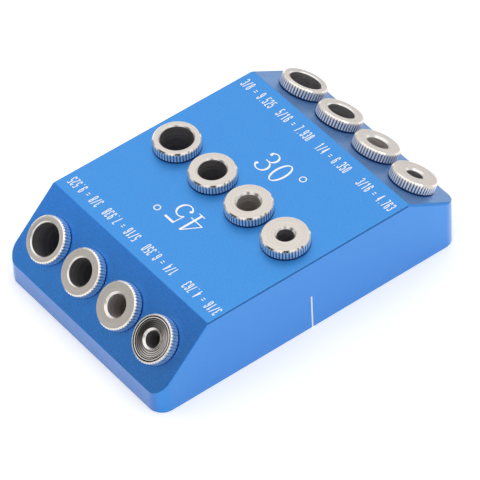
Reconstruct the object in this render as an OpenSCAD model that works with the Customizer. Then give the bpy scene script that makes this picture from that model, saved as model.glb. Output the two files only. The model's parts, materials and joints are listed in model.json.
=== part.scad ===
// Angled drill guide: one machined block and three rows of removable guide bushes.
// The rows guide a drill at 45 degrees, upright, and at 30 degrees from upright.
// X runs along the block towards the 30 degree end, Y across it towards the
// largest bushes, and Z up. The origin is the middle of the base.

/* [Block] */
// Length of the block along X
block_len = 104; // [100:0.5:120]
// Width of the block along Y
block_w = 70; // [68:0.5:90]
// Height of the top face above the base
block_h = 24.6; // [24:0.1:30]
// Radius of the four upright corners
corner_r = 4.5; // [2:0.25:6]
// Chamfer along the two long edges of the top face
top_chamfer = 0.3; // [0.1:0.05:0.6]

/* [Slopes] */
// How far the 45 degree slope reaches in from its end of the block
slope_45_run = 17.8; // [15:0.1:19]
// How far the 30 degree slope reaches in from its end of the block
slope_30_run = 17; // [15:0.1:20]
// Chamfer along the two side edges of the 45 degree slope
slope_45_chamfer = 0.2; // [0.1:0.05:0.6]
// Chamfer along the two side edges of the 30 degree slope
slope_30_chamfer = 0.6; // [0.1:0.05:1]

/* [Rows] */
// Distance between neighbouring bushes of a row
row_pitch = 16.2; // [15:0.1:17]
// Distance down the 45 degree slope from its top edge to its row
row_45_drop = 12.8; // [9:0.1:14]
// Distance down the 30 degree slope from its top edge to its row
row_30_drop = 10.5; // [9:0.1:12]

/* [Bores] */
// Bore of the largest bushes, for a 3/8 inch drill
bore_3_8 = 9.525; // [9:0.005:9.8]
// Bore of the second bushes, for a 5/16 inch drill
bore_5_16 = 7.938; // [7:0.005:8.5]
// Bore of the third bushes, for a 1/4 inch drill
bore_1_4 = 6.35; // [5.5:0.005:7]
// Bore of the smallest bushes, for a 3/16 inch drill
bore_3_16 = 4.763; // [4:0.005:5.5]

/* [Bushes] */
// Diameter of the knurled head
head_d = 13.8; // [13:0.1:15]
// Height of the head above the block
head_h = 3.2; // [2:0.1:4]
// Chamfer round the top edge of the head
head_chamfer = 0.4; // [0.2:0.05:0.6]
// Chamfer round the lower edge of the head
under_chamfer = 0.25; // [0.1:0.05:0.4]
// Number of knurl ridges round the head
knurl_count = 48; // [36:1:60]
// Depth of the knurl grooves
knurl_depth = 0.3; // [0.1:0.05:0.35]
// Diameter of the shank that fits the block
shank_d = 12; // [11.5:0.1:12.6]
// Length of the shank below the head
shank_len = 13; // [10:0.5:14]
// Chamfer round the tip of the shank
tip_chamfer = 0.5; // [0.2:0.1:0.8]
// Chamfer round each mouth of the bore
mouth_chamfer = 0.5; // [0.2:0.05:0.6]

/* [Dished bush] */
// Depth of the dish turned in one head face, at its outer side
dish_depth = 0.35; // [0.1:0.05:0.8]
// Extra depth of the dish where it meets its collar
dish_fall = 0.25; // [0.1:0.05:0.5]
// Width of the rim left round the dish
dish_rim_w = 0.75; // [0.6:0.05:1.2]
// Width of the collar left round the bore, outside its chamfer
collar_w = 0.3; // [0.1:0.05:1]

/* [Seats and fits] */
// Radial clearance of a shank in its seat
seat_fit = 0.05; // [0.01:0.01:0.1]
// Gap between the tip of a shank and the bottom of its seat
seat_end_gap = 0.5; // [0.2:0.1:1]
// Diameter of the hole that lets the drill out through the base
drill_hole_d = 10.6; // [10.2:0.1:11.2]

/* [Centre mark] */
// Width of the line cut in each long side, in line with the upright row
mark_w = 0.5; // [0.3:0.05:0.8]
// Height of the line above the base
mark_h = 11.9; // [6:0.1:16]
// Depth of the line
mark_depth = 0.15; // [0.1:0.05:0.3]

/* [Hidden] */
$fn = 96;
// Lean of each sloped face, which its row stands square to
lean_45 = 45;
lean_30 = 30;
// One bore for each place in a row, from +Y to -Y
BORES = [bore_3_8, bore_5_16, bore_1_4, bore_3_16];
last = len(BORES) - 1;
// Share of a knurl ridge's width that its flat crest takes
crest_share = 0.3;
// How far cuts run past the faces that they open
overrun = 1;
top_45_x = slope_45_run - block_len / 2;
top_30_x = block_len / 2 - slope_30_run;
// The upright row stands midway along the top face
row_90_x = (top_45_x + top_30_x) / 2;
head_r = head_d / 2;
shank_r = shank_d / 2;
seat_depth = shank_len + seat_end_gap;
// The tool that cuts a slope, and the drill holes, reach right through the block
cutter = block_len;

function place_y(place) = (last / 2 - place) * row_pitch;

// A point of the knurl outline, at a share of the turn
function around(radius, share) = radius * [cos(360 * share), sin(360 * share)];

// Children in the frame of the 45 degree row: seat plane at zero, axis upward
module in_row_45(place) {
    translate([top_45_x - row_45_drop * cos(lean_45), place_y(place), block_h - row_45_drop * sin(lean_45)])
        rotate([0, -lean_45, 0])
            children();
}

module in_row_90(place) {
    translate([row_90_x, place_y(place), block_h])
        children();
}

module in_row_30(place) {
    translate([top_30_x + row_30_drop * cos(lean_30), place_y(place), block_h - row_30_drop * sin(lean_30)])
        rotate([0, lean_30, 0])
            children();
}

// The block before its slopes are cut
module blank() {
    translate([-block_len / 2, corner_r - block_w / 2, 0])
        cube([block_len, block_w - 2 * corner_r, block_h]);
    translate([corner_r - block_len / 2, -block_w / 2, 0])
        cube([block_len - 2 * corner_r, block_w, block_h]);
    for (x = [-1, 1])
        for (y = [-1, 1])
            translate([x * (block_len / 2 - corner_r), y * (block_w / 2 - corner_r), 0])
                cylinder(h = block_h, r = corner_r);
}

// Children in the frame of a top or sloped face: its top edge along Y, its normal up
module on_face(edge_x, lean) {
    translate([edge_x, 0, block_h])
        rotate([0, lean, 0])
            children();
}

// The tool that takes away all that lies above a plane
module above() {
    translate([0, 0, cutter / 2])
        cube(cutter, center = true);
}

// Chamfers along the two side edges of a face
module side_chamfers(edge_x, lean, chamfer) {
    on_face(edge_x, lean)
        for (side = [-1, 1])
            translate([0, side * (block_w / 2 - chamfer), 0])
                rotate([-side * 45, 0, 0])
                    above();
}

// The seat of one bush, with the hole that lets the drill out below it
module bush_seat() {
    translate([0, 0, -seat_depth])
        cylinder(h = seat_depth + overrun, r = shank_r + seat_fit);
    translate([0, 0, -cutter / 2])
        cylinder(h = cutter / 2, d = drill_hole_d);
}

module centre_marks() {
    for (side = [-1, 1])
        translate([row_90_x - mark_w / 2, side * block_w / 2 - mark_depth, -overrun])
            cube([mark_w, 2 * mark_depth, mark_h + overrun]);
}

module block() {
    color("dodgerblue")
        difference() {
            blank();
            on_face(top_45_x, -lean_45) above();
            on_face(top_30_x, lean_30) above();
            side_chamfers(row_90_x, 0, top_chamfer);
            side_chamfers(top_45_x, -lean_45, slope_45_chamfer);
            side_chamfers(top_30_x, lean_30, slope_30_chamfer);
            centre_marks();
            for (place = [0 : last]) {
                in_row_45(place) bush_seat();
                in_row_90(place) bush_seat();
                in_row_30(place) bush_seat();
            }
        }
}

// Straight knurl: flat crests with a sharp groove between each two
module knurl_outline() {
    groove_r = head_r - knurl_depth;
    corners = [[head_r, -crest_share / 2], [head_r, crest_share / 2], [groove_r, 0.5]];
    polygon([
        for (ridge = [0 : knurl_count - 1])
            for (corner = corners)
                around(corner[0], (ridge + corner[1]) / knurl_count)
    ]);
}

// The knurled head, its upper and lower edges chamfered
module knurled_head() {
    intersection() {
        linear_extrude(height = head_h)
            knurl_outline();
        rotate_extrude()
            polygon([
                [0, 0],
                [head_r - under_chamfer, 0],
                [head_r, under_chamfer],
                [head_r, head_h - head_chamfer],
                [head_r - head_chamfer, head_h],
                [0, head_h]
            ]);
    }
}

module shank() {
    translate([0, 0, tip_chamfer - shank_len])
        cylinder(h = shank_len - tip_chamfer, r = shank_r);
    translate([0, 0, -shank_len])
        cylinder(h = tip_chamfer, r1 = shank_r - tip_chamfer, r2 = shank_r);
}

// The guide bore, with a chamfer at each mouth
module guide_bore(bore_d) {
    bore_r = bore_d / 2;
    wide_r = bore_r + mouth_chamfer;
    translate([0, 0, -shank_len - overrun])
        cylinder(h = shank_len + head_h + 2 * overrun, r = bore_r);
    translate([0, 0, head_h - mouth_chamfer])
        cylinder(h = mouth_chamfer, r1 = bore_r, r2 = wide_r);
    translate([0, 0, -shank_len])
        cylinder(h = mouth_chamfer, r1 = wide_r, r2 = bore_r);
}

// The shallow dish turned in a head face, between its rim and the collar round the bore
module face_dish(bore_d) {
    collar_r = bore_d / 2 + mouth_chamfer + collar_w;
    rim_r = head_r - dish_rim_w;
    rotate_extrude()
        polygon([
            [collar_r, head_h + overrun],
            [collar_r, head_h - dish_depth - dish_fall],
            [rim_r, head_h - dish_depth],
            [rim_r, head_h + overrun]
        ]);
}

// One bush: it screws in by its knurled head, whose underside seats on the block
module bush(bore_d, dished = false) {
    color("gainsboro")
        difference() {
            union() {
                knurled_head();
                shank();
            }
            guide_bore(bore_d);
            if (dished) face_dish(bore_d);
        }
}

module bush_45(place) {
    in_row_45(place) bush(BORES[place], dished = place == last);
}

module bush_90(place) {
    in_row_90(place) bush(BORES[place]);
}

module bush_30(place) {
    in_row_30(place) bush(BORES[place]);
}

block();
bush_45(0);  // bush_45_3_8
bush_45(1);  // bush_45_5_16
bush_45(2);  // bush_45_1_4
bush_45(3);  // bush_45_3_16
bush_90(0);  // bush_90_3_8
bush_90(1);  // bush_90_5_16
bush_90(2);  // bush_90_1_4
bush_90(3);  // bush_90_3_16
bush_30(0);  // bush_30_3_8
bush_30(1);  // bush_30_5_16
bush_30(2);  // bush_30_1_4
bush_30(3);  // bush_30_3_16
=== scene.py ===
"""The looks of an angled drill guide: a blue anodised block with twelve knurled steel bushes."""
import json
import math

import bmesh
import bpy
from mathutils import Matrix, Vector

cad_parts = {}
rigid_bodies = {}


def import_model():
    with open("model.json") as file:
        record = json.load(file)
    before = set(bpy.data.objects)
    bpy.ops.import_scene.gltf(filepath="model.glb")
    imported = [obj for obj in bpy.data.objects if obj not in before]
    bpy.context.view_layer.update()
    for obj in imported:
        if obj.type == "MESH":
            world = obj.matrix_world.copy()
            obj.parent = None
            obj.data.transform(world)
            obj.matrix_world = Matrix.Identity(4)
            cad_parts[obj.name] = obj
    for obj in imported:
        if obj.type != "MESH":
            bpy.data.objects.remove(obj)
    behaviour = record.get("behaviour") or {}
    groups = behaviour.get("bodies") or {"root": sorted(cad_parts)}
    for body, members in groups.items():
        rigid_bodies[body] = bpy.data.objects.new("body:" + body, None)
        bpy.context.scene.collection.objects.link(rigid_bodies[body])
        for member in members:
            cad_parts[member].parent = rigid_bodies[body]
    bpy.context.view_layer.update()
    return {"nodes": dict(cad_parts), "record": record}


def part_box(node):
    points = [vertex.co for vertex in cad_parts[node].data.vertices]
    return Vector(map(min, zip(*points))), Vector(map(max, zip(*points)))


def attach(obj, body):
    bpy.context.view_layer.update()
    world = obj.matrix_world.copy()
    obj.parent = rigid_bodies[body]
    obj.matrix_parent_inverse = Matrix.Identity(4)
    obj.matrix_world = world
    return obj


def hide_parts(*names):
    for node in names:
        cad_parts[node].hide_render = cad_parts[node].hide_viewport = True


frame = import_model()

MM = 0.001
FULL_TURN = 2 * math.pi
BLOCK = "block"
BLOCK_LOW, BLOCK_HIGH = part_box(BLOCK)
TOP_Z = BLOCK_HIGH.z

# The block
CORNER_R = 4.5 * MM
CORNER_STEPS = 14
SLOPE_45_RUN = 17.8 * MM
SLOPE_30_RUN = 17 * MM
LEAN_45 = math.radians(45)
LEAN_30 = math.radians(30)
TOP_CHAMFER = 0.3 * MM
SLOPE_45_CHAMFER = 0.2 * MM
SLOPE_30_CHAMFER = 0.6 * MM
EDGE_BREAK = 0.07 * MM
EDGE_STEPS = 2
TOP_45_X = BLOCK_LOW.x + SLOPE_45_RUN
TOP_30_X = BLOCK_HIGH.x - SLOPE_30_RUN

# The bushes
HEAD_R = 6.9 * MM
HEAD_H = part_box("bush_90_3_8")[1].z - TOP_Z
HEAD_TOP = HEAD_H / MM
HEAD_CHAMFER = 0.46 * MM
DISHED_CHAMFER = 0.32 * MM
UNDER_CHAMFER = 0.4 * MM
SHANK_R = 6 * MM
SHANK_LEN = 13 * MM
TIP_CHAMFER = 0.5 * MM
TAIL_CHAMFER = 0.5 * MM
EDGE_ROUND = 0.05 * MM
ROW_PITCH = 16.2 * MM
ROW_BUSHES = 4

# Each size of bush: the chamfer at the mouth of its bore, and how light the painted shade in its bore
# is, from 0 to 1
BUSH_MOUTH_AND_BORE_SHADE = {
    "3_8": (0.36 * MM, 0.0),
    "5_16": (0.38 * MM, 0.0),
    "1_4": (0.63 * MM, 1.0),
    "3_16": (0.6 * MM, 0.1),
}

# The knurl of each row: the colour of its ridges, lightened and tinted as a painted reflection of
# the blue block, that of its grooves, dark as dirt and painted shade, how dry its ridges are, and
# how much the dirt and painted shade in its grooves fade towards the seat
KNURL_LIGHT_AND_SHADE = {
    "45": ((0.87, 0.92, 0.91), (0.33, 0.41, 0.49), 0.05, 0.85),
    "90": ((0.90, 0.93, 0.95), (0.13, 0.16, 0.23), 0.16, 0.0),
    "30": ((0.95, 0.94, 0.98), (0.03, 0.035, 0.10), 0.32, 0.0),
}

KNURL_COUNT = 48
KNURL_STEPS = 8
KNURL_DEPTH = 0.28 * MM
CREST_SHARE = 0.3
TURN_STEPS = 96

# The face with a shallow dish. Its lip, first groove, ring and second groove, as radius and height
# against the face in millimetres, then the dish itself, down to the collar round the bore
DISHED = "bush_45_3_16"
DISH_EDGE = [(6.33, 0), (6.27, -0.36), (6.04, -0.36), (5.93, -0.03), (5.68, -0.03), (5.6, -0.34),
             (5.42, -0.34)]
DISH_R = 5.36 * MM
DISH_INNER_R = 3.1 * MM
DISH_BROW = 0.16 * MM
DISH_DEPTH = 0.26 * MM
DISH_FALL = 0.34 * MM
DISH_LINES = 4
DISH_RIPPLE = 0.03 * MM
COLLAR_FALL = 0.04 * MM
COLLAR_SLANT = 0.05 * MM

# The thread that holds a bush in its seat
PITCH = 1 * MM
THREAD_DEPTH = 0.55 * MM
THREAD_RINGS = 8
THREAD_FADE = 1 * MM
NECK_R = 5.5 * MM
NECK_H = 1 * MM
NECK_LOW = 0.6 * MM
NECK_FLARE = 0.2 * MM

# The seats in the block
SEAT_FIT = 0.05 * MM
SEAT_DEPTH = SHANK_LEN + 0.5 * MM
SEAT_STEPS = 60
SEAT_RINGS = 6
SEAT_MOUTH = 0.5 * MM
DRILL_HOLE_R = 5.3 * MM
DRILL_REACH = 45 * MM
OVERRUN = 1 * MM

# The centre line on each long side
LINE_W = 0.5 * MM
LINE_H = 11.9 * MM
LINE_CUT = 0.15 * MM
LINE_X = (TOP_45_X + TOP_30_X) / 2
LINE_GAP = 0.01 * MM

# Edges that turn by more than this are shaded sharp
SHARP_ANGLE = math.radians(28)
# How much of each side of a corner its rounding may take
ROUND_SHARE = 0.4
# Corners closer than this are one corner
SAME_PLACE = 0.005 * MM
SAME_PLACE_FINE = 0.001 * MM


# Mesh helpers

def new_piece(name, bm, body, material, replaced=None):
    """Makes a mesh object of bm that rides on a body"""
    mesh = bpy.data.meshes.new(name)
    bm.to_mesh(mesh)
    bm.free()
    piece = bpy.data.objects.new(name, mesh)
    bpy.context.scene.collection.objects.link(piece)
    mesh.materials.append(material)
    mesh.shade_smooth()
    mesh.set_sharp_from_angle(angle=SHARP_ANGLE)
    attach(piece, body)
    if replaced:
        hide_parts(replaced)
    return piece


def even_normals(piece):
    """Lets the large faces lead the shading, so that small bevels leave them flat"""
    weighted = piece.modifiers.new("even_normals", "WEIGHTED_NORMAL")
    weighted.keep_sharp = True
    weighted.weight = 50


def bevel(bm, edges, width, steps):
    """Bevels or rounds edges"""
    bmesh.ops.bevel(bm, geom=edges, offset=width, segments=steps, affect="EDGES", profile=0.5,
                    material=-1, clamp_overlap=True)


def cut_above(bm, point, normal):
    """Takes away all that lies beyond a plane and closes the cut"""
    geom = bm.verts[:] + bm.edges[:] + bm.faces[:]
    cut = bmesh.ops.bisect_plane(bm, geom=geom, plane_co=point, plane_no=normal, clear_outer=True)
    edges = [part for part in cut["geom_cut"] if isinstance(part, bmesh.types.BMEdge)]
    bmesh.ops.contextual_create(bm, geom=edges)


def spin_profile(bm, profile, steps):
    """Turns an open profile of (radius, height) points about Z"""
    verts = [bm.verts.new((radius, 0, height)) for radius, height in profile]
    edges = [bm.edges.new(pair) for pair in zip(verts, verts[1:])]
    bmesh.ops.spin(bm, geom=verts + edges, cent=(0, 0, 0), axis=(0, 0, 1), angle=FULL_TURN,
                   steps=steps, use_merge=True)


def rounded(profile, radius, steps=3):
    """The profile with each inner corner replaced by a short arc"""
    points = [Vector(point) for point in profile]
    smooth = [points[0]]
    for before, corner, after in zip(points, points[1:], points[2:]):
        into, away = (corner - before), (after - corner)
        turn = into.angle(away, 0)
        reach = min(radius * math.tan(turn / 2), into.length * ROUND_SHARE,
                    away.length * ROUND_SHARE)
        start = corner - into.normalized() * reach
        end = corner + away.normalized() * reach
        for step in range(steps + 1):
            share = step / steps
            a = start.lerp(corner, share)
            b = corner.lerp(end, share)
            smooth.append(a.lerp(b, share))
    smooth.append(points[-1])
    return [tuple(point) for point in smooth]


def thread_fall(angle, height, low, high):
    """How far the thread lies below its crest, fading out at both ends"""
    wave = (1 - math.cos(FULL_TURN * height / PITCH - angle)) / 2
    fade = min(1, (height - low) / THREAD_FADE, (high - height) / THREAD_FADE)
    return THREAD_DEPTH * wave * max(0, fade)


def cut_thread(bm, crest_r, low, high):
    """Sinks a screw thread into the turned surface of radius crest_r between two heights"""
    for vert in bm.verts:
        radius = vert.co.xy.length
        if abs(radius - crest_r) < EDGE_ROUND / 2 and low < vert.co.z < high:
            angle = math.atan2(vert.co.y, vert.co.x)
            share = 1 - thread_fall(angle, vert.co.z, low, high) / radius
            vert.co.xy = vert.co.xy * share


def thread_heights(low, high, per_pitch):
    """Evenly spaced heights between two ends, so many to each turn of the thread"""
    count = round((high - low) / PITCH * per_pitch)
    return [low + (high - low) * step / count for step in range(1, count)]


# Materials

def shader_nodes(name):
    """A new material's nodes, its links and its main shader"""
    material = bpy.data.materials.new(name)
    material.use_nodes = True
    tree = material.node_tree
    return material, tree, tree.nodes["Principled BSDF"]


def node(tree, kind, inputs=(), **settings):
    """A new node with its settings, and inputs that are values or other nodes' outputs"""
    made = tree.nodes.new(kind)
    for key, value in settings.items():
        setattr(made, key, value)
    for key, value in dict(inputs).items():
        if isinstance(value, bpy.types.NodeSocket):
            tree.links.new(value, made.inputs[key])
        else:
            made.inputs[key].default_value = value
    return made


def in_millimetres(tree):
    """Object coordinates, in millimetres"""
    place = node(tree, "ShaderNodeTexCoord")
    sized = node(tree, "ShaderNodeMapping", {"Vector": place.outputs["Object"]})
    sized.inputs["Scale"].default_value = (1 / MM, 1 / MM, 1 / MM)
    return sized.outputs["Vector"]


def noise(tree, vector, scale, detail, roughness):
    made = node(tree, "ShaderNodeTexNoise",
                {"Vector": vector, "Scale": scale, "Detail": detail, "Roughness": roughness})
    return made.outputs["Fac"]


def spread(tree, value, low, high, dark=0.3, light=0.7):
    """Maps a value, such as a noise, from the range dark to light to the range low to high"""
    made = node(tree, "ShaderNodeMapRange",
                {"Value": value, "From Min": dark, "From Max": light, "To Min": low, "To Max": high})
    return made.outputs["Result"]


def bump(tree, height, distance, strength):
    inputs = {"Height": height, "Distance": distance, "Strength": strength}
    return node(tree, "ShaderNodeBump", inputs).outputs["Normal"]


def maths(tree, operation, first, second=0.0):
    return node(tree, "ShaderNodeMath", {0: first, 1: second}, operation=operation).outputs["Value"]


def times(tree, product, *factors):
    """The product of several values"""
    for factor in factors:
        product = maths(tree, "MULTIPLY", product, factor)
    return product


def rest_of(tree, share):
    """What a share leaves of one"""
    return maths(tree, "SUBTRACT", 1.0, share)


def step_up(tree, value, low, high):
    """From zero at low to one at high"""
    made = node(tree, "ShaderNodeMapRange", {"Value": value, "From Min": low, "From Max": high},
                interpolation_type="SMOOTHSTEP")
    return made.outputs["Result"]


def near_level(tree, value, level, blend):
    """From zero to one as a value comes up to a level, from how far below it and to how far below"""
    return step_up(tree, value, level - blend[0], level - blend[1])


def past_level(tree, value, level, blend):
    """From zero to one as a value goes past a level, from how far above it and to how far above"""
    return step_up(tree, value, level + blend[0], level + blend[1])


def vector_maths(tree, operation, first, second=(0, 0, 0), output="Value"):
    inputs = {0: first, 1: second}
    return node(tree, "ShaderNodeVectorMath", inputs, operation=operation).outputs[output]


def apart(tree, vector):
    """The three parts of a vector"""
    parts = node(tree, "ShaderNodeSeparateXYZ", {"Vector": vector}).outputs
    return parts["X"], parts["Y"], parts["Z"]


def together(tree, x, y, z=0.0):
    return node(tree, "ShaderNodeCombineXYZ", {"X": x, "Y": y, "Z": z}).outputs["Vector"]


def stored(tree, name, output="Fac"):
    """What a piece's vertices hold under a name"""
    return node(tree, "ShaderNodeAttribute", attribute_name=name).outputs[output]


def mixed(tree, factor, first, second):
    """A colour between two colours that are themselves outputs or values"""
    mix = node(tree, "ShaderNodeMix", {0: factor}, data_type="RGBA")
    for socket, colour in ((mix.inputs[6], first), (mix.inputs[7], second)):
        if isinstance(colour, bpy.types.NodeSocket):
            tree.links.new(colour, socket)
        else:
            socket.default_value = (*colour, 1)
    return mix.outputs[2]


def painted(tree, colour, coats):
    """Lays coats over a colour in turn, each with where it is, how strong it is and its own colour"""
    for where, strength, coat in coats:
        colour = mixed(tree, times(tree, where, strength), colour, coat)
    return colour


# The blue of each face of the block, at the darkest and the lightest of its grain. The block is one
# blue, and the differences from face to face are painted light and shade
BLUE_WALLS = ((0.003, 0.205, 0.648), (0.009, 0.273, 0.78))
BLUE_TOP = ((0.007, 0.213, 0.652), (0.026, 0.341, 0.872))
BLUE_END = ((0.002, 0.150, 0.52), (0.008, 0.195, 0.63))
BLUE_45_NEAR = ((0.001, 0.100, 0.385), (0.012, 0.258, 0.80))
BLUE_45_FAR = ((0.001, 0.135, 0.54), (0.014, 0.334, 1.0))
BLUE_30 = ((0.007, 0.160, 0.475), (0.032, 0.276, 0.688))
# Painted shade: what the 45 degree slope is multiplied by at its foot and at its top
SHADE_45 = ((1.0, 0.92, 0.90), (0.8, 1.05, 1.10))
# How far from a face its own blue starts and is full, in millimetres
TOP_BLEND = (0.12, 0.04)
SLOPE_BLEND = (0.2, 0.05)
END_BLEND = (0.1, 1.5)
CHAMFER_BLEND = (0.1, 0.03)
# The painted shade on the block round a head: its colour, how far it reaches from the head and
# below the seat, and its strength in each row
CONTACT_SHADE_BLUE = (0.004, 0.03, 0.16)
CONTACT_BLEND = (0.05, 0.25)
CONTACT_DEPTH = (0.3, 0.1)
CONTACT_LEVEL = 0.65
CONTACT_ROWS = {"bush_45_3_8": 0.5, "bush_90_3_8": 1, "bush_30_3_8": 1}
# Whole pitches added along Y, so that no place is below zero
PITCHES_UP = 10
# The painted dark reflection along the two long chamfers, its strength, and how much smoother the
# chamfers are
CHAMFER_REFLECTION_BLUE = (0.003, 0.07, 0.28)
CHAMFER_REFLECTION_LEVEL = 0.6
CHAMFER_POLISH = 0.27
# The grain and the slower cloud of the blue, as noises: scale in a millimetre, detail, roughness
BLAST_GRAIN = (2.6, 5.0, 0.75)
CLOUD = (0.7, 3.0, 0.55)
# How deep the grain is, and how much of that is shown
BLAST_BUMP = (0.1 * MM, 0.9)
# How rough the blue is, and how rough and how dense its clear skin is
BLUE_ROUGH = (0.35, 0.43)
SKIN_ROUGH = 0.25
SKIN_IOR = 1.52


def beside_heads(tree, place):
    """Where the painted shade goes: one on the block's faces under and close round each head, falling
    to zero a little way off
    """
    pitch = ROW_PITCH / MM
    _, y, _ = apart(tree, place)
    in_row = maths(tree, "LESS_THAN", maths(tree, "ABSOLUTE", y), ROW_BUSHES / 2 * pitch)
    moved = maths(tree, "ADD", y, PITCHES_UP * pitch)
    across = maths(tree, "SUBTRACT", maths(tree, "MODULO", moved, pitch), pitch / 2)
    rings = []
    for name, strength in CONTACT_ROWS.items():
        seat = bush_place(name)
        origin, along, axis = seat.translation / MM, seat.col[0].xyz, seat.col[2].xyz
        sideways, above = [
            maths(tree, "SUBTRACT", vector_maths(tree, "DOT_PRODUCT", place, way), origin.dot(way))
            for way in (along, axis)
        ]
        radius = vector_maths(tree, "LENGTH", together(tree, sideways, across))
        close = rest_of(tree, past_level(tree, radius, HEAD_R / MM, CONTACT_BLEND))
        rings.append(times(tree, close, strength, near_level(tree, above, 0, CONTACT_DEPTH)))
    ring = maths(tree, "MAXIMUM", maths(tree, "MAXIMUM", rings[0], rings[1]), rings[2])
    return times(tree, ring, in_row)


def slope_45_light_and_shade(tree, speckle, y, z):
    """The 45 degree slope's blue with painted light and shade: lighter towards its far side and cooler
    towards its top
    """
    near, far = [mixed(tree, speckle, *shades) for shades in (BLUE_45_NEAR, BLUE_45_FAR)]
    across = spread(tree, y, 0, 1, BLOCK_LOW.y / MM, BLOCK_HIGH.y / MM)
    upward = spread(tree, z, 0, 1, (TOP_Z - SLOPE_45_RUN) / MM, TOP_Z / MM)
    shade = mixed(tree, upward, *SHADE_45)
    return vector_maths(tree, "MULTIPLY", mixed(tree, across, near, far), shade, output="Vector")


def face_light_and_shade(tree, place, speckle):
    """Painted light and shade: a coat for each face whose blue differs from that of the long sides"""
    x, y, z = apart(tree, place)
    on_top = near_level(tree, z, TOP_Z / MM, TOP_BLEND)
    on_end = rest_of(tree, past_level(tree, x, BLOCK_LOW.x / MM, END_BLEND))
    up_45 = maths(tree, "SUBTRACT", z, x)
    on_45 = near_level(tree, up_45, (TOP_Z - TOP_45_X) / MM, SLOPE_BLEND)
    slant = math.tan(LEAN_30)
    up_30 = maths(tree, "ADD", z, times(tree, x, slant))
    on_30 = near_level(tree, up_30, (TOP_Z + TOP_30_X * slant) / MM, SLOPE_BLEND)
    on_30 = times(tree, on_30, maths(tree, "GREATER_THAN", x, TOP_30_X / MM))
    return [
        (on_top, 1, mixed(tree, speckle, *BLUE_TOP)),
        (on_end, 1, mixed(tree, speckle, *BLUE_END)),
        (on_45, 1, slope_45_light_and_shade(tree, speckle, y, z)),
        (on_30, 1, mixed(tree, speckle, *BLUE_30)),
    ]


def top_chamfers(tree, place):
    """One on the chamfers along the two long edges of the top"""
    _, y, z = apart(tree, place)
    outward = maths(tree, "ADD", maths(tree, "ABSOLUTE", y), z)
    return near_level(tree, outward, (BLOCK_HIGH.y + TOP_Z - TOP_CHAMFER) / MM, CHAMFER_BLEND)


def anodised_blue():
    """Blasted aluminium, dyed blue, under its clear hard skin, with painted light and shade on its
    faces
    """
    material, tree, shader = shader_nodes("anodised_blue")
    place = in_millimetres(tree)
    grain = noise(tree, place, *BLAST_GRAIN)
    cloud = noise(tree, place, *CLOUD)
    speckle = spread(tree, grain, 0, 1)
    on_chamfer = top_chamfers(tree, place)
    # The long sides' blue, then painted light and shade on each other face
    colour = painted(tree, mixed(tree, speckle, *BLUE_WALLS), face_light_and_shade(tree, place, speckle) + [
        # Painted shade round each head
        (beside_heads(tree, place), CONTACT_LEVEL, CONTACT_SHADE_BLUE),
        # Painted dark reflection along the two long chamfers
        (on_chamfer, CHAMFER_REFLECTION_LEVEL, CHAMFER_REFLECTION_BLUE),
    ])
    tree.links.new(colour, shader.inputs["Base Color"])
    polish = times(tree, on_chamfer, CHAMFER_POLISH)
    rough = maths(tree, "SUBTRACT", spread(tree, cloud, *BLUE_ROUGH), polish)
    tree.links.new(rough, shader.inputs["Roughness"])
    tree.links.new(bump(tree, grain, *BLAST_BUMP), shader.inputs["Normal"])
    shader.inputs["Metallic"].default_value = 1.0
    shader.inputs["Coat Weight"].default_value = 1.0
    shader.inputs["Coat Roughness"].default_value = SKIN_ROUGH
    shader.inputs["Coat IOR"].default_value = SKIN_IOR
    return material


# Steel: the darker and the lighter of its lathe rings on a face, and in a dark and a light bore,
# whose steel is painted darker than the face as painted shade
FACE_STEEL = ((0.615, 0.57, 0.525), (0.70, 0.65, 0.60))
DARK_BORE_SHADE = ((0.27, 0.26, 0.275), (0.48, 0.465, 0.48))
LIGHT_BORE_SHADE = ((0.44, 0.41, 0.39), (0.72, 0.67, 0.64))
# The other parts of a bush. Under the head is painted shade with a painted blue reflection of the
# block, and the knurl's shoulder is a painted highlight
RIM_STEEL = (0.87, 0.81, 0.745)
MOUTH_STEEL = (0.75, 0.73, 0.71)
UNDER_SHADE_AND_REFLECTION = (0.20, 0.30, 0.55)
SHOULDER_HIGHLIGHT = (1.0, 0.90, 0.77)
# The dish: its tool marks and the steel between them, a painted shade on its far side, its grooves
# painted dark as painted shade, and its ring painted light as a painted highlight
DISH_STEEL = ((0.62, 0.59, 0.57), (0.045, 0.04, 0.037))
DISH_SHADE = (0.04, 0.036, 0.034)
DISH_SHADE_LEVEL = 0.72
DISH_SHADE_WAY = (0.41, 0.91, 0)
DISH_GROOVE_SHADE = (0.03, 0.025, 0.022)
DISH_RING_HIGHLIGHT = (0.95, 0.92, 0.89)
# How much of a coat covers the steel under it
COAT = 0.9
UNDER_COAT = 0.8
SHOULDER_HIGHLIGHT_COAT = 0.75
# How dry, and so less like a mirror, the knurl's shoulder is, and a dull and a bright bore
SHOULDER_DRY = 0.4
DULL_DRY = 0.1
BRIGHT_DRY = 0.16
# How rough a face is, and how much rougher or smoother than a face each other part is
STEEL_ROUGH = (0.24, 0.32)
RIM_ROUGHER = -0.19
MOUTH_ROUGHER = -0.02
DISH_ROUGHER = -0.1
KNURL_ROUGHER = 0.08
BORE_ROUGHER = 0.2
# The lathe rings, how far they wander round the head, and their depth and how much of it is shown
LATHE_RINGS = (2.4, 3.0, 0.6)
RING_WANDER = 0.2
RING_BUMP = (0.003 * MM, 0.2)
# The smudges that make a face rougher here and smoother there
SMUDGE = (0.5, 3.0, 0.5)
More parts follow.
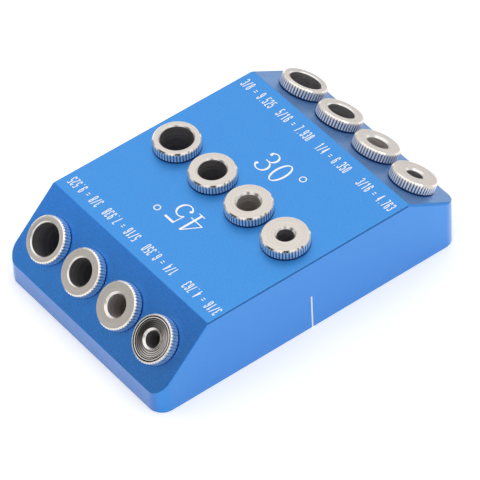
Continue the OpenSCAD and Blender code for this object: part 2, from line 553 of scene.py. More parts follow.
# How far from its edge each part's paint starts and is full, in millimetres
RIM_BLEND = (0.1, 0.02)
MOUTH_BLEND = (0.3, 0.1)
MOUTH_EDGE = (0.02, -0.02)
BORE_BLEND = (0.01, 0.04)
KNURL_BLEND = (0.05, 0.02)
GROOVE_BLEND = (KNURL_DEPTH * 0.8 / MM, KNURL_DEPTH * 0.2 / MM)
SHOULDER_BLEND = (1.15, 0.4)
UNDER_BLEND = (0.15, 0)
UNDER_EDGE = (0.1, 0.2)
DIRT_AND_SHADE_FADE = (0.7, 2.2)
DISH_FLOOR = (0.95, 0.85)
DISH_TOP = (0.2, 0.1)
COLLAR_BLEND = (0.06, 0)
DISH_GROOVE_TOP = (0.3, 0.15)
DISH_GROOVE_EDGE = (0.02, 0.06)
DISH_RING_TOP = (0.12, 0.06)
DISH_RING_EDGE = (0.1, 0.15)
# A tool mark's width as a share of its pitch, and how far round the head the painted shade deepens
TOOL_MARK = (0.15, 0.6)
DISH_SHADE_REACH = (-0.75, 0.35)


def rim_share(tree, radius, height):
    """One on the chamfer round the top of a head"""
    outward = maths(tree, "ADD", maths(tree, "ADD", radius, height), stored(tree, "head_chamfer"))
    return near_level(tree, outward, HEAD_R / MM + HEAD_TOP, RIM_BLEND)


def bore_shares(tree, radius, height):
    """The chamfer at the bore's mouth, the bore below it, and how light the bore's painted shade is"""
    bore_r, mouth_w, bore_light = apart(tree, stored(tree, "bush_sizes", "Vector"))
    past_bore = maths(tree, "SUBTRACT", radius, bore_r)
    in_bore = rest_of(tree, past_level(tree, past_bore, 0, BORE_BLEND))
    slant = maths(tree, "ADD", maths(tree, "SUBTRACT", height, past_bore), mouth_w)
    inside = near_level(tree, maths(tree, "SUBTRACT", mouth_w, past_bore), 0, MOUTH_EDGE)
    mouth = times(tree, near_level(tree, slant, HEAD_TOP, MOUTH_BLEND), inside)
    return mouth, in_bore, bore_light


def knurl_shares(tree, radius, height, rim):
    """The knurl, its grooves, its shoulder with a painted highlight, and the painted shade under the
    head
    """
    knurled = near_level(tree, radius, (HEAD_R - KNURL_DEPTH) / MM, KNURL_BLEND)
    knurled = times(tree, knurled, rest_of(tree, rim))
    on_ridge = near_level(tree, radius, HEAD_R / MM, GROOVE_BLEND)
    groove = times(tree, knurled, rest_of(tree, on_ridge))
    shoulder = times(tree, knurled, near_level(tree, height, HEAD_TOP, SHOULDER_BLEND))
    above_chamfer = near_level(tree, height, UNDER_CHAMFER / MM, UNDER_BLEND)
    past_shank = past_level(tree, radius, SHANK_R / MM, UNDER_EDGE)
    under = times(tree, rest_of(tree, above_chamfer), past_shank)
    return knurled, groove, shoulder, under


def groove_dirt_and_shade(tree, height, groove):
    """The dirt and painted shade in the grooves, which in some rows fade towards the seat"""
    low = rest_of(tree, past_level(tree, height, 0, DIRT_AND_SHADE_FADE))
    fade = times(tree, low, stored(tree, "groove_fade"))
    return times(tree, groove, rest_of(tree, fade))


def dish_shares(tree, radius, height, knurled):
    """The dish with its two grooves, the grooves by themselves, and the bright ring between them"""
    inside_lip = maths(tree, "LESS_THAN", radius, (HEAD_R - DISHED_CHAMFER) / MM)
    here = times(tree, stored(tree, "dished"), inside_lip)
    above_floor = near_level(tree, height, HEAD_TOP, DISH_FLOOR)
    above_dish = near_level(tree, height, HEAD_TOP, DISH_TOP)
    past_collar = near_level(tree, radius, DISH_INNER_R / MM, COLLAR_BLEND)
    dish = times(tree, above_floor, rest_of(tree, above_dish), past_collar,
                 rest_of(tree, knurled), here)
    above_groove = near_level(tree, height, HEAD_TOP, DISH_GROOVE_TOP)
    past_dish = past_level(tree, radius, DISH_R / MM, DISH_GROOVE_EDGE)
    grooves = times(tree, rest_of(tree, above_groove), past_dish, dish)
    ring = times(tree, near_level(tree, height, HEAD_TOP, DISH_RING_TOP),
                 past_level(tree, radius, DISH_R / MM, DISH_RING_EDGE), here)
    return dish, grooves, ring


def dish_colour(tree, radius, way):
    """Dark rings left by the tool, and a painted shade that deepens towards the far side"""
    pitch = (DISH_R - DISH_INNER_R) / DISH_LINES / MM
    inward = maths(tree, "SUBTRACT", DISH_R / MM + pitch, radius)
    wave = times(tree, maths(tree, "MODULO", inward, pitch), 2 / pitch)
    off_mark = maths(tree, "ABSOLUTE", maths(tree, "SUBTRACT", wave, 1.0))
    marks = mixed(tree, rest_of(tree, step_up(tree, off_mark, *TOOL_MARK)), *DISH_STEEL)
    far_side = step_up(tree, vector_maths(tree, "DOT_PRODUCT", way, DISH_SHADE_WAY), *DISH_SHADE_REACH)
    return painted(tree, marks, [(far_side, DISH_SHADE_LEVEL, DISH_SHADE)])


def turned_steel():
    """Bright steel: fine lathe rings on the faces, polished chamfers, dull bores and knurl grooves,
    with painted shade in the bores, the knurl's grooves, the dish's grooves and under the head, and
    painted highlights and reflections on the knurl and the dish's ring
    """
    material, tree, shader = shader_nodes("bright_steel")
    x, y, height = apart(tree, stored(tree, "bush_place", "Vector"))
    flat = together(tree, x, y)
    radius = vector_maths(tree, "LENGTH", flat)
    way = vector_maths(tree, "NORMALIZE", flat, output="Vector")
    wander = [times(tree, part, RING_WANDER) for part in apart(tree, way)[:2]]
    rings = noise(tree, together(tree, maths(tree, "ADD", radius, height), *wander), *LATHE_RINGS)
    ring = spread(tree, rings, 0, 1)

    rim = rim_share(tree, radius, height)
    mouth, in_bore, bore_light = bore_shares(tree, radius, height)
    knurled, groove, shoulder, under = knurl_shares(tree, radius, height, rim)
    dish, dish_grooves, dish_ring = dish_shares(tree, radius, height, knurled)
    # The bore's painted shade, darker than the face
    bore = mixed(tree, bore_light, mixed(tree, ring, *DARK_BORE_SHADE), mixed(tree, ring, *LIGHT_BORE_SHADE))
    colour = painted(tree, mixed(tree, ring, *FACE_STEEL), [
        (rim, COAT, RIM_STEEL),
        (mouth, COAT, MOUTH_STEEL),
        # Painted reflection on the ridges, and dirt and painted shade in the grooves
        (knurled, COAT, stored(tree, "ridge_reflection_colour", "Vector")),
        (groove_dirt_and_shade(tree, height, groove), COAT, stored(tree, "groove_grime_and_shade_colour", "Vector")),
        # Painted shade and blue reflection under the head, and a painted highlight on the knurl's
        # shoulder
        (under, UNDER_COAT, UNDER_SHADE_AND_REFLECTION),
        (shoulder, SHOULDER_HIGHLIGHT_COAT, SHOULDER_HIGHLIGHT),
        # Painted shade on the dish's far side and in its grooves, and a painted highlight on its ring
        (dish, 1, dish_colour(tree, radius, way)),
        (dish_grooves, 1, DISH_GROOVE_SHADE),
        (dish_ring, COAT, DISH_RING_HIGHLIGHT),
        (in_bore, COAT, bore),
    ])
    tree.links.new(colour, shader.inputs["Base Color"])

    rough = spread(tree, noise(tree, in_millimetres(tree), *SMUDGE), *STEEL_ROUGH)
    for where, rougher in (
        (rim, RIM_ROUGHER),
        (mouth, MOUTH_ROUGHER),
        (dish, DISH_ROUGHER),
        (knurled, KNURL_ROUGHER),
        (in_bore, BORE_ROUGHER),
    ):
        rough = maths(tree, "ADD", rough, times(tree, where, rougher))
    tree.links.new(rough, shader.inputs["Roughness"])
    tree.links.new(bump(tree, rings, *RING_BUMP), shader.inputs["Normal"])

    crest = maths(tree, "SUBTRACT", knurled, groove)
    bore_dry = maths(tree, "ADD", times(tree, bore_light, BRIGHT_DRY), DULL_DRY)
    dry = maths(tree, "MAXIMUM", times(tree, crest, stored(tree, "ridge_dry")),
                times(tree, in_bore, bore_dry))
    dry = maths(tree, "MAXIMUM", dry, times(tree, shoulder, SHOULDER_DRY))
    tree.links.new(rest_of(tree, dry), shader.inputs["Metallic"])
    return material


WHITE_MARKING = ((0.90, 0.90, 0.92), (0.99, 0.98, 0.97))
MARK_SPECKLE = (9.0, 2.0, 0.6)
MARK_BUMP = (0.01 * MM, 0.5)
MARK_ROUGH = 0.65


def white_marking():
    """White laser marking with a dry, faintly speckled face"""
    material, tree, shader = shader_nodes("white_marking")
    speckle = noise(tree, in_millimetres(tree), *MARK_SPECKLE)
    colour = mixed(tree, spread(tree, speckle, 0, 1), *WHITE_MARKING)
    tree.links.new(colour, shader.inputs["Base Color"])
    tree.links.new(bump(tree, speckle, *MARK_BUMP), shader.inputs["Normal"])
    shader.inputs["Roughness"].default_value = MARK_ROUGH
    return material


# The block

def blank():
    """The block before its seats and lines are cut"""
    bm = bmesh.new()
    size = BLOCK_HIGH - BLOCK_LOW
    middle = (BLOCK_HIGH + BLOCK_LOW) / 2
    bmesh.ops.create_cube(bm, size=1, matrix=Matrix.Translation(middle) @ Matrix.Diagonal((*size, 1)))
    upright = [edge for edge in bm.edges if abs(edge.verts[0].co.z - edge.verts[1].co.z) > size.z / 2]
    bevel(bm, upright, CORNER_R, CORNER_STEPS)
    faces = [
        (TOP_45_X, -LEAN_45, SLOPE_45_CHAMFER),
        (LINE_X, 0, TOP_CHAMFER),
        (TOP_30_X, LEAN_30, SLOPE_30_CHAMFER),
    ]
    for edge_x, lean, _ in faces:
        if lean:
            cut_above(bm, Vector((edge_x, 0, TOP_Z)), Vector((math.sin(lean), 0, math.cos(lean))))
    for edge_x, lean, chamfer in faces:
        for side in (-1, 1):
            up = Vector((math.sin(lean), 0, math.cos(lean)))
            start = Vector((edge_x, side * (BLOCK_HIGH.y - chamfer), TOP_Z))
            cut_above(bm, start, up + Vector((0, side, 0)))
    bmesh.ops.remove_doubles(bm, verts=bm.verts, dist=SAME_PLACE)
    bmesh.ops.recalc_face_normals(bm, faces=bm.faces)
    sharp = [edge for edge in bm.edges if edge.calc_face_angle(0) > SHARP_ANGLE / 2]
    bevel(bm, sharp, EDGE_BREAK, EDGE_STEPS)
    return bm


def seat_tool(place):
    """What is cut away for one bush: its threaded seat and the way out for the drill"""
    bm = bmesh.new()
    wide_r = SHANK_R + SEAT_FIT
    mouth = SEAT_MOUTH + EDGE_ROUND
    profile = [(0, -DRILL_REACH), (DRILL_HOLE_R, -DRILL_REACH), (DRILL_HOLE_R, -SEAT_DEPTH),
               (wide_r, -SEAT_DEPTH)]
    profile += [(wide_r, height) for height in thread_heights(-SEAT_DEPTH, -mouth, SEAT_RINGS)]
    profile += [(wide_r, -mouth), (wide_r + mouth + OVERRUN / 2, OVERRUN / 2), (0, OVERRUN / 2)]
    spin_profile(bm, profile, SEAT_STEPS)
    cut_thread(bm, wide_r, -SEAT_DEPTH - THREAD_FADE, 0)
    bmesh.ops.remove_doubles(bm, verts=bm.verts, dist=SAME_PLACE)
    bmesh.ops.recalc_face_normals(bm, faces=bm.faces)
    bmesh.ops.transform(bm, matrix=place, verts=bm.verts)
    return bm


def line_tool(side):
    """The shallow groove of one centre line"""
    bm = bmesh.new()
    middle = Vector((LINE_X, side * BLOCK_HIGH.y, (LINE_H - OVERRUN) / 2))
    size = (LINE_W, 2 * LINE_CUT, LINE_H + OVERRUN)
    bmesh.ops.create_cube(bm, size=1, matrix=Matrix.Translation(middle) @ Matrix.Diagonal((*size, 1)))
    return bm


def cut_from(piece, tools):
    """Cuts the tools out of the piece and keeps the result as its mesh"""
    kept = bpy.data.collections.new("tools")
    for number, bm in enumerate(tools):
        mesh = bpy.data.meshes.new(f"tool_{number}")
        bm.to_mesh(mesh)
        bm.free()
        kept.objects.link(bpy.data.objects.new(mesh.name, mesh))
    cut = piece.modifiers.new("cut", "BOOLEAN")
    cut.operation = "DIFFERENCE"
    cut.operand_type = "COLLECTION"
    cut.collection = kept
    cut.solver = "MANIFOLD"
    bpy.context.view_layer.update()
    depsgraph = bpy.context.evaluated_depsgraph_get()
    result = bpy.data.meshes.new_from_object(piece.evaluated_get(depsgraph))
    piece.modifiers.remove(cut)
    piece.data = result
    for tool in list(kept.objects):
        bpy.data.objects.remove(tool)
    bpy.data.collections.remove(kept)
    result.shade_smooth()
    result.set_sharp_from_angle(angle=SHARP_ANGLE)


def make_block(material, places):
    piece = new_piece("machined_block", blank(), BLOCK, material, BLOCK)
    tools = [seat_tool(place) for place in places]
    tools += [line_tool(side) for side in (-1, 1)]
    cut_from(piece, tools)
    even_normals(piece)
    return piece


# The bushes

def guide_bore(name):
    """What the record says of the bore of a bush"""
    tag = name.replace("bush", "bore")
    return next(mount for mount in frame["record"]["mounts"] if mount["name"] == tag)


def bush_place(name):
    """Turns and moves a bush from its own frame, seat plane at zero, to its place"""
    bore = guide_bore(name)
    axis = Vector(bore["axis"])
    seat = Vector(bore["pos_m"]) + axis * (SHANK_LEN - HEAD_H) / 2
    lean = math.atan2(axis.x, axis.z)
    return Matrix.Translation(seat) @ Matrix.Rotation(lean, 4, "Y")


def knurl_fall(angle):
    """How deep the knurl lies at an angle, from zero on a ridge to its full depth in a groove"""
    share = angle / FULL_TURN * KNURL_COUNT % 1
    from_ridge = abs(share - 0.5) * 2
    return KNURL_DEPTH * max(0, (from_ridge - CREST_SHARE) / (1 - CREST_SHARE))


def knurl(bm, chamfer):
    """Presses the knurl into the rim, its grooves running out through both chamfers"""
    for vert in bm.verts:
        radius = vert.co.xy.length
        if radius > HEAD_R - SAME_PLACE:
            fall = knurl_fall(math.atan2(vert.co.y, vert.co.x))
            vert.co.xy = vert.co.xy * (1 - fall / radius)
            if vert.co.z > HEAD_H - chamfer - SAME_PLACE:
                vert.co.z += fall
            elif vert.co.z < UNDER_CHAMFER + SAME_PLACE:
                vert.co.z -= fall


def plain_face(mouth_r):
    """A flat face, from near its rim to the wide end of the bore's chamfer"""
    return [(HEAD_R - HEAD_CHAMFER * 2, HEAD_H), (mouth_r, HEAD_H)]


def dished_face(mouth_r):
    """A face with a lip, a groove, a ring, a second groove, and a dish that falls to a collar"""
    face = [(radius * MM, HEAD_H + fall * MM) for radius, fall in DISH_EDGE]
    face.append((DISH_R, HEAD_H - DISH_BROW))
    for line in range(1, 2 * DISH_LINES + 1):
        share = line / (2 * DISH_LINES)
        ripple = DISH_RIPPLE if line % 2 else 0
        radius = DISH_R + (DISH_INNER_R - DISH_R) * share
        face.append((radius, HEAD_H - DISH_DEPTH - DISH_FALL * share - ripple))
    collar = HEAD_H - COLLAR_FALL
    return face + [(DISH_INNER_R - COLLAR_SLANT, collar), (mouth_r, collar)]


def bush_shape(bore_r, mouth, face, chamfer):
    """One bush in its own frame: the rim of its head first, then all that is plain turned"""
    bm = bmesh.new()
    rim = [(HEAD_R - chamfer, HEAD_H), (HEAD_R, HEAD_H - chamfer), (HEAD_R, HEAD_H / 2),
           (HEAD_R, UNDER_CHAMFER), (HEAD_R - UNDER_CHAMFER, 0)]
    spin_profile(bm, rim, KNURL_COUNT * KNURL_STEPS)
    knurl(bm, chamfer)
    thread_low, thread_high = TIP_CHAMFER - SHANK_LEN, -NECK_H
    inner = face + [
        (bore_r, HEAD_H - mouth),
        (bore_r, TAIL_CHAMFER - SHANK_LEN),
        (bore_r + TAIL_CHAMFER, -SHANK_LEN),
        (SHANK_R - TIP_CHAMFER, -SHANK_LEN),
        (SHANK_R, thread_low),
    ]
    inner = rounded(inner, EDGE_ROUND)
    inner += [(SHANK_R, height) for height in thread_heights(thread_low, thread_high, THREAD_RINGS)]
    inner += [(SHANK_R, thread_high), (NECK_R, -NECK_LOW), (NECK_R, -NECK_FLARE),
              (NECK_R + NECK_FLARE, 0), (SHANK_R, 0)]
    spin_profile(bm, inner, TURN_STEPS)
    cut_thread(bm, SHANK_R, thread_low - THREAD_FADE / 2, thread_high)
    open_edges = [edge for edge in bm.edges if edge.is_boundary]
    for top in (True, False):
        rings = [edge for edge in open_edges if (edge.verts[0].co.z > HEAD_H / 2) == top]
        bmesh.ops.triangle_fill(bm, edges=rings, normal=(0, 0, 1), use_beauty=True)
    bmesh.ops.remove_doubles(bm, verts=bm.verts, dist=SAME_PLACE_FINE)
    bmesh.ops.recalc_face_normals(bm, faces=bm.faces)
    return bm


def write_attributes(bm, values):
    """Stores values on every vertex, for the material to read"""
    for name, value in values.items():
        layers = bm.verts.layers.float_vector if isinstance(value, tuple) else bm.verts.layers.float
        layer = layers.new(name)
        for vert in bm.verts:
            vert[layer] = value


def make_bush(name, material):
    bore_r = guide_bore(name)["dims"]["r_mm"] * MM
    row, size = name.split("_", 2)[1:]
    mouth, bore_light = BUSH_MOUTH_AND_BORE_SHADE[size]
    ridge_reflection_colour, groove_grime_and_shade_colour, ridge_dry, groove_fade = KNURL_LIGHT_AND_SHADE[row]
    dished = name == DISHED
    face = dished_face(bore_r + mouth) if dished else plain_face(bore_r + mouth)
    chamfer = DISHED_CHAMFER if dished else HEAD_CHAMFER
    bm = bush_shape(bore_r, mouth, face, chamfer)
    write_attributes(bm, {
        "bush_sizes": (bore_r / MM, mouth / MM, bore_light),
        "head_chamfer": chamfer / MM,
        "dished": float(dished),
        "ridge_reflection_colour": ridge_reflection_colour,
        "groove_grime_and_shade_colour": groove_grime_and_shade_colour,
        "ridge_dry": ridge_dry,
        "groove_fade": groove_fade,
    })
    own_place = bm.verts.layers.float_vector.new("bush_place")
    for vert in bm.verts:
        vert[own_place] = vert.co / MM
    bmesh.ops.transform(bm, matrix=bush_place(name), verts=bm.verts)
    piece = new_piece(name + "_turned", bm, name, material, name)
    even_normals(piece)


# Markings

# How high the white stands, how much more where strokes cross, and how deep it reaches
MARK_LIFT = 0.02 * MM
MARK_STEP = 0.003 * MM
MARK_SINK = 0.03 * MM
# The angle between the points of a curve, how far round the end of a stroke goes, and how much
# squarer than an oval the small characters are
ARC_STEP = math.radians(9)
END_TURN = math.radians(84)
FLAT_SIDED = 2.7
# One label for each size of bush, from the largest. Its middle along Y is in millimetres
LABEL_H = 3.4 * MM
LABEL_W = 0.84 * MM
LABEL_PITCH = 1.22 * MM
LABEL_STROKE = 0.26 * MM
LABELS = {
    "3_8": "3/8 = 9.525",
    "5_16": "5/16 = 7.938",
    "1_4": "1/4 = 6.350",
    "3_16": "3/16 = 4.763",
}
LABEL_30_Y = (26.3, 9.9, -7.15, -25.8)
LABEL_45_Y = (26.1, 9.6, -7.7, -26.4)
LABEL_30_X = 28.8 * MM
LABEL_45_X = -28.05 * MM
NUMBER_30_X = 11.7 * MM
NUMBER_30_Y = 5.5 * MM
NUMBER_45_X = -10.8 * MM
NUMBER_45_Y = -5.5 * MM
# The strokes of the large numbers
THIN = 0.32 * MM
THICK = 0.70 * MM
ZERO_THICK = 0.64 * MM
FOOT_W = 0.28 * MM
BALL_R = 0.45 * MM
BALL_STEPS = 32


def oval(left, right, low, high, start=90, end=450, squareness=2.0):
    """Points of part of an oval, from one angle to another in degrees"""
    start, end = math.radians(start), math.radians(end)
    steps = max(3, round(abs(end - start) / ARC_STEP))
    points = []
    for step in range(steps + 1):
        angle = start + (end - start) * step / steps
        x, y = math.cos(angle), math.sin(angle)
        x = math.copysign(abs(x) ** (2 / squareness), x)
        y = math.copysign(abs(y) ** (2 / squareness), y)
        across = left + right + (right - left) * x
        upward = low + high + (high - low) * y
        points.append(Vector((across / 2, upward / 2)))
    return points


def narrow(*limits):
    """An oval with flatter sides, as narrow characters have"""
    return oval(*limits, squareness=FLAT_SIDED)


def straight(*points):
    return [Vector(point) for point in points]


# The strokes of each character, in a box from 0 to 1 both ways
CHARACTERS = {
    "0": [narrow(0, 1, 0, 1)],
    "1": [straight((0.1, 0.82), (0.58, 1)), straight((0.58, 1), (0.58, 0))],
    "2": [narrow(0, 1, 0.45, 1, 170, -30), straight((0.96, 0.62), (0.02, 0)),
          straight((0, 0), (1, 0))],
    "3": [narrow(0, 1, 0.53, 1, 165, -90), narrow(0, 1, 0, 0.53, 90, -165)],
    "4": [straight((0.72, 0), (0.72, 1)), straight((0.72, 1), (0, 0.28)),
          straight((0, 0.28), (1, 0.28))],
    "5": [straight((0.95, 1), (0.08, 1)), straight((0.08, 1), (0.05, 0.52)),
          narrow(0, 1, 0, 0.6, 140, -165)],
    "6": [narrow(0, 1, 0, 0.56), narrow(0, 1, 0, 1, 195, 25)],
    "7": [straight((0, 1), (1, 1)), straight((1, 1), (0.34, 0))],
    "8": [narrow(0.06, 0.94, 0.53, 1), narrow(0, 1, 0, 0.53)],
    "9": [narrow(0, 1, 0.44, 1), narrow(0, 1, 0, 1, 15, -155)],
    "/": [straight((0, 0), (1, 1))],
    "=": [straight((0, 0.6), (1, 0.6)), straight((0, 0.36), (1, 0.36))],
    ".": [straight((0.5, 0), (0.5, 0.015))],
    " ": [],
}


def round_ends(points, widths, steps=4):
    """Adds a half circle to each end of a stroke"""
    for end in (0, -1):
        path, sizes = (points, widths) if end else (points[::-1], widths[::-1])
        along = (path[-1] - path[-2]).normalized()
        radius = sizes[-1] / 2
        tip = path[-1]
        for step in range(1, steps + 1):
            turn = END_TURN * step / steps
            path = path + [tip + along * radius * math.sin(turn)]
            sizes = sizes + [2 * radius * math.cos(turn)]
        points, widths = (path, sizes) if end else (path[::-1], sizes[::-1])
    return points, widths


def thicken(bm, faces):
    """Makes flat faces into a closed slab that reaches just below the surface they mark"""
    raised = bmesh.ops.extrude_face_region(bm, geom=faces)
    for part in raised["geom"]:
        if isinstance(part, bmesh.types.BMVert):
            part.co.z = -MARK_SINK


def add_stroke(bm, points, widths, layer):
    """A flat band of changing width along points. A path that ends where it starts is a ring"""
    ring = (points[0] - points[-1]).length < MARK_STEP
    if ring:
        points, widths = points[:-1], widths[:-1]
    else:
        points, widths = round_ends(points, widths)
    last = len(points) - 1
    lift = MARK_LIFT + layer * MARK_STEP
    pairs = []
    for number, point in enumerate(points):
        before = points[number - 1] if ring or number else point
        after = points[(number + 1) % len(points)] if ring or number < last else point
        along = (after - before).normalized()
        side = Vector((-along.y, along.x)) * widths[number] / 2
        pairs.append([bm.verts.new((*place, lift)) for place in (point - side, point + side)])
    following = pairs[1:] + pairs[:1] if ring else pairs[1:]
    thicken(bm, [bm.faces.new((a[0], b[0], b[1], a[1])) for a, b in zip(pairs, following)])


def add_ball(bm, middle, layer):
    """The round end of a curved stroke, its middle in millimetres"""
    where = Matrix.Translation((*(Vector(middle) * MM), MARK_LIFT + layer * MARK_STEP))
    disc = bmesh.ops.create_circle(bm, cap_ends=True, segments=BALL_STEPS, radius=BALL_R, matrix=where)
    thicken(bm, list({face for vert in disc["verts"] for face in vert.link_faces}))


def upright_widths(points, thin, thick):
    """Widths of a curved stroke: thick where it runs up or down, thin where it runs across"""
    widths = []
    for number in range(len(points)):
        before, after = points[max(number - 1, 0)], points[min(number + 1, len(points) - 1)]
        along = (after - before).normalized()
        widths.append(thin + (thick - thin) * along.y ** 2)
    return widths


def add_curve(bm, points, layer, thick=THICK):
    """A curved stroke of a large number, its points in millimetres"""
    points = [point * MM for point in points]
    add_stroke(bm, points, upright_widths(points, THIN, thick), layer)


def add_bar(bm, start, end, width, layer):
    """A straight stroke of a large number, its points in millimetres"""
    points = [Vector(start) * MM, Vector(end) * MM]
    add_stroke(bm, points, [width, width], layer)


def add_degree_sign(bm, x, y, radius):
    add_curve(bm, oval(x - radius, x + radius, y - radius, y + radius), 0, THIN)


def number_30():
    """30 and a degree sign, from their lower left corner"""
    bm = bmesh.new()
    add_curve(bm, oval(0.35, 3.85, 4.28, 7.87, 150, -90), 0)
    add_curve(bm, oval(0.1, 4.25, 0.18, 4.28, 90, -155), 1)
    add_bar(bm, (1.4, 4.28), (2.2, 4.28), THIN, 2)
    add_ball(bm, (0.78, 6.6), 3)
    add_ball(bm, (0.55, 1.6), 3)
    add_curve(bm, oval(6.25, 9.85, 0.18, 7.87), 0, ZERO_THICK)
    add_degree_sign(bm, 13.9, 7.2, 0.96)
    return bm


def number_45():
    """45 and a degree sign, from their lower left corner"""
    bm = bmesh.new()
    add_bar(bm, (3.55, 7.7), (3.55, 0.3), THICK, 0)
    add_bar(bm, (3.4, 7.85), (0.2, 2.75), THIN, 1)
    add_bar(bm, (0.2, 2.75), (4.9, 2.75), THIN, 2)
    add_bar(bm, (2.4, 0.15), (4.7, 0.15), FOOT_W, 3)
    add_bar(bm, (6.95, 7.6), (10.2, 7.6), THICK, 0)
    add_bar(bm, (6.85, 7.6), (6.6, 4.2), THIN, 1)
    add_curve(bm, oval(6.1, 10.4, 0.18, 4.95, 138, -150), 2)
    add_ball(bm, (6.72, 1.55), 3)
    add_degree_sign(bm, 14.15, 7.5, 0.92)
    return bm


def label(words):
    """Small, narrow characters in a line, centred on the origin"""
    bm = bmesh.new()
    box = Vector((LABEL_W, LABEL_H)) - Vector((LABEL_STROKE, LABEL_STROKE))
    for place, character in enumerate(words):
        middle = (place - (len(words) - 1) / 2) * LABEL_PITCH
        corner = Vector((middle - box.x / 2, LABEL_STROKE / 2))
        for layer, path in enumerate(CHARACTERS[character]):
            points = [corner + Vector((point.x * box.x, point.y * box.y)) for point in path]
            add_stroke(bm, points, [LABEL_STROKE] * len(points), layer)
    return bm


def mark_top(name, bm, x, y, turn, material):
    """Puts writing on the top face, turned so that its upper side is towards one end"""
    bmesh.ops.recalc_face_normals(bm, faces=bm.faces)
    place = Matrix.Translation((x, y, TOP_Z)) @ Matrix.Rotation(math.radians(turn), 4, "Z")
    bmesh.ops.transform(bm, matrix=place, verts=bm.verts)
    new_piece(name, bm, BLOCK, material)


def centre_line(side):
    """The white in the groove of one centre line, a hair clear of its walls"""
    bm = bmesh.new()
    low = Vector((LINE_X - LINE_W / 2, side * (BLOCK_HIGH.y - LINE_CUT), 0))
    high = Vector((LINE_X + LINE_W / 2, side * (BLOCK_HIGH.y - LINE_GAP), LINE_H))
    inside = Vector((1, -side, 1)) * LINE_GAP
    size = high - low - 2 * inside
    where = Matrix.Translation((low + high) / 2) @ Matrix.Diagonal((*size, 1))
    bmesh.ops.create_cube(bm, size=1, matrix=where)
    bmesh.ops.recalc_face_normals(bm, faces=bm.faces)
    return bm


def make_markings(material):
    mark_top("number_30", number_30(), NUMBER_30_X, NUMBER_30_Y, -90, material)
    mark_top("number_45", number_45(), NUMBER_45_X, NUMBER_45_Y, 90, material)
    for (tag, words), y_30, y_45 in zip(LABELS.items(), LABEL_30_Y, LABEL_45_Y):
        mark_top("label_30_" + tag, label(words), LABEL_30_X, y_30 * MM, -90, material)
        mark_top("label_45_" + tag, label(words), LABEL_45_X, y_45 * MM, 90, material)
    for side, name in ((-1, "near"), (1, "far")):
        new_piece("centre_line_" + name, centre_line(side), BLOCK, material)


# Camera, floor, light

CAMERA_AZIMUTH = math.radians(-35.423)
CAMERA_ELEVATION = math.radians(45.45)
CAMERA_ROLL = math.radians(-3.206)
CAMERA_DISTANCE = 1221.678 * MM
CAMERA_LENS = 333.17
SENSOR_W = 36
CAMERA_SEES_FROM = 0.05
CAMERA_SEES_TO = 100
AIM_HEIGHT = 14 * MM
AIM_RIGHT = 2.407 * MM
AIM_UP = -5.103 * MM


def add_camera():
    """The camera at the photograph's angle"""
    flat = math.cos(CAMERA_ELEVATION)
    back = Vector((math.sin(CAMERA_AZIMUTH) * flat, -math.cos(CAMERA_AZIMUTH) * flat,
                   math.sin(CAMERA_ELEVATION)))
    level = Vector((0, 0, 1)).cross(back).normalized()
    upright = back.cross(level)
    right = level * math.cos(CAMERA_ROLL) + upright * math.sin(CAMERA_ROLL)
    up = upright * math.cos(CAMERA_ROLL) - level * math.sin(CAMERA_ROLL)
    aim = Vector((0, 0, AIM_HEIGHT)) + right * AIM_RIGHT + up * AIM_UP
    turn = Matrix((right, up, back)).transposed().to_4x4()
    lens = bpy.data.cameras.new("camera")
    lens.lens = CAMERA_LENS
    lens.sensor_width = SENSOR_W
    lens.clip_start = CAMERA_SEES_FROM
    lens.clip_end = CAMERA_SEES_TO
    camera = bpy.data.objects.new("camera", lens)
    camera.matrix_world = Matrix.Translation(aim + back * CAMERA_DISTANCE) @ turn
    bpy.context.scene.collection.objects.link(camera)
    bpy.context.scene.camera = camera


def seen_ray(tree):
    """One for what the eye, a mirror or glass looks at, and zero for light on other things"""
    path = node(tree, "ShaderNodeLightPath")
    seen = maths(tree, "MAXIMUM", path.outputs["Is Camera Ray"], path.outputs["Is Glossy Ray"])
    return maths(tree, "MAXIMUM", seen, path.outputs["Is Transmission Ray"])


FLOOR_REACH = 20
FLOOR_GAP = 0.02 * MM
FLOOR_WHITE = 0.86
FLOOR_ROUGH = 0.9
# What is added to the floor where it is looked at, from how far in under the block's edge
FLOOR_LIFT = 0.31
FLOOR_BLEND = (3 * MM, 1.4 * MM)


def clear_of_block(tree):
    """Zero on the floor under the block and one beside it"""
    x, y, _ = apart(tree, node(tree, "ShaderNodeTexCoord").outputs["Object"])
    past = [maths(tree, "SUBTRACT", maths(tree, "ABSOLUTE", place), reach)
            for place, reach in ((x, BLOCK_HIGH.x), (y, BLOCK_HIGH.y))]
    return near_level(tree, maths(tree, "MAXIMUM", *past), 0, FLOOR_BLEND)


def add_floor():
    """A plain white floor that keeps the object's shadow"""
    bm = bmesh.new()
    bmesh.ops.create_grid(bm, x_segments=1, y_segments=1, size=FLOOR_REACH)
    mesh = bpy.data.meshes.new("floor")
    bm.to_mesh(mesh)
    bm.free()
    floor = bpy.data.objects.new("floor", mesh)
    floor.location.z = -FLOOR_GAP
    bpy.context.scene.collection.objects.link(floor)
    material, tree, shader = shader_nodes("white_floor")
    shader.inputs["Base Color"].default_value = (FLOOR_WHITE, FLOOR_WHITE, FLOOR_WHITE, 1)
    shader.inputs["Roughness"].default_value = FLOOR_ROUGH
    shader.inputs["Specular IOR Level"].default_value = 0.0
    shader.inputs["Emission Color"].default_value = (1, 1, 1, 1)
    lift = times(tree, seen_ray(tree), clear_of_block(tree), FLOOR_LIFT)
    tree.links.new(lift, shader.inputs["Emission Strength"])
    mesh.materials.append(material)


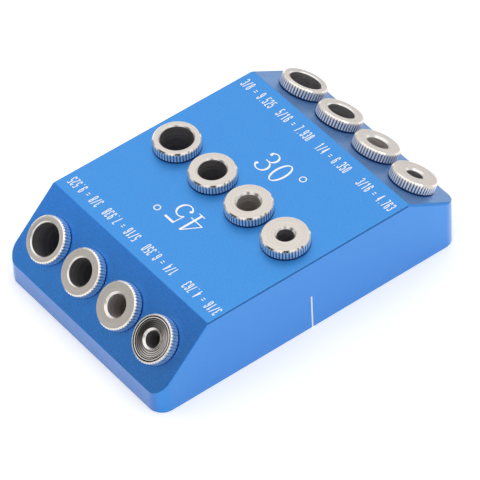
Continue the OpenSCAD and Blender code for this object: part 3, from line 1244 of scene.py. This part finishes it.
# Each soft light: the way to it, how far off it is, its width, and how bright its face is, where 1
# is plain white
LAMPS = {
    "back_softbox": ((0.41, 0.576, 0.707), 1.5, 0.9, 0.24),
    "front_softbox": ((0.6, -0.8, 1.0), 1.5, 0.6, 0.9),
}


def add_lamp(name, towards, distance, size, level):
    """A square soft light that shines at the object"""
    light = bpy.data.lights.new(name, "AREA")
    light.size = size
    light.energy = level * math.pi * size * size
    lamp = bpy.data.objects.new(name, light)
    way = Vector(towards).normalized()
    turn = way.to_track_quat("Z", "Y").to_matrix().to_4x4()
    lamp.matrix_world = Matrix.Translation(way * distance) @ turn
    bpy.context.scene.collection.objects.link(lamp)


# The studio's brightness, and what each part of it adds: towards, inner and outer angle in degrees,
# and how much. The camera's side is dark where the camera stands and brighter round it
STUDIO_LEVEL = 0.84
STUDIO_DARKEST = 0.02
CAMERA_SIDE = (-0.4066, -0.5717, 0.7126)
STUDIO_PARTS = [
    ((0, 0, 1), 15, 50, 0.45),
    ((-0.88, 0.27, 0.42), 11, 22, -0.74),
    ((0.9, 0.55, 0.12), 14, 45, -0.17),
    (CAMERA_SIDE, 7, 13, -1.02),
    ((0.41, -0.71, 0.57), 7, 15, -0.75),
    ((-0.17, 0.985, 0.02), 12, 32, -0.42),
    (CAMERA_SIDE, 24, 38, 0.20),
]


def near_to(tree, direction, towards, inner, outer):
    """One within an angle of inner degrees from a direction, falling to zero at outer degrees"""
    dot = vector_maths(tree, "DOT_PRODUCT", direction, Vector(towards).normalized())
    return step_up(tree, dot, math.cos(math.radians(outer)), math.cos(math.radians(inner)))


def add_world():
    """A plain studio dome: bright overhead, dimmer low at the back and at both sides"""
    world = bpy.data.worlds.new("studio")
    bpy.context.scene.world = world
    world.use_nodes = True
    tree = world.node_tree
    direction = node(tree, "ShaderNodeTexCoord").outputs["Generated"]
    level = STUDIO_LEVEL
    for towards, inner, outer, added in STUDIO_PARTS:
        part = times(tree, near_to(tree, direction, towards, inner, outer), added)
        level = maths(tree, "ADD", part, level)
    level = maths(tree, "MAXIMUM", level, STUDIO_DARKEST)
    tree.links.new(level, tree.nodes["Background"].inputs["Strength"])
    tree.nodes["Background"].inputs["Color"].default_value = (1, 1, 1, 1)


def add_studio():
    add_camera()
    add_floor()
    add_world()
    for name, settings in LAMPS.items():
        add_lamp(name, *settings)
    bpy.context.scene.view_settings.view_transform = "Standard"


steel = turned_steel()
blue = anodised_blue()
white = white_marking()
bush_names = sorted(name for name in frame["nodes"] if name != BLOCK)
make_block(blue, [bush_place(name) for name in bush_names])
for bush_name in bush_names:
    make_bush(bush_name, steel)
make_markings(white)
add_studio()
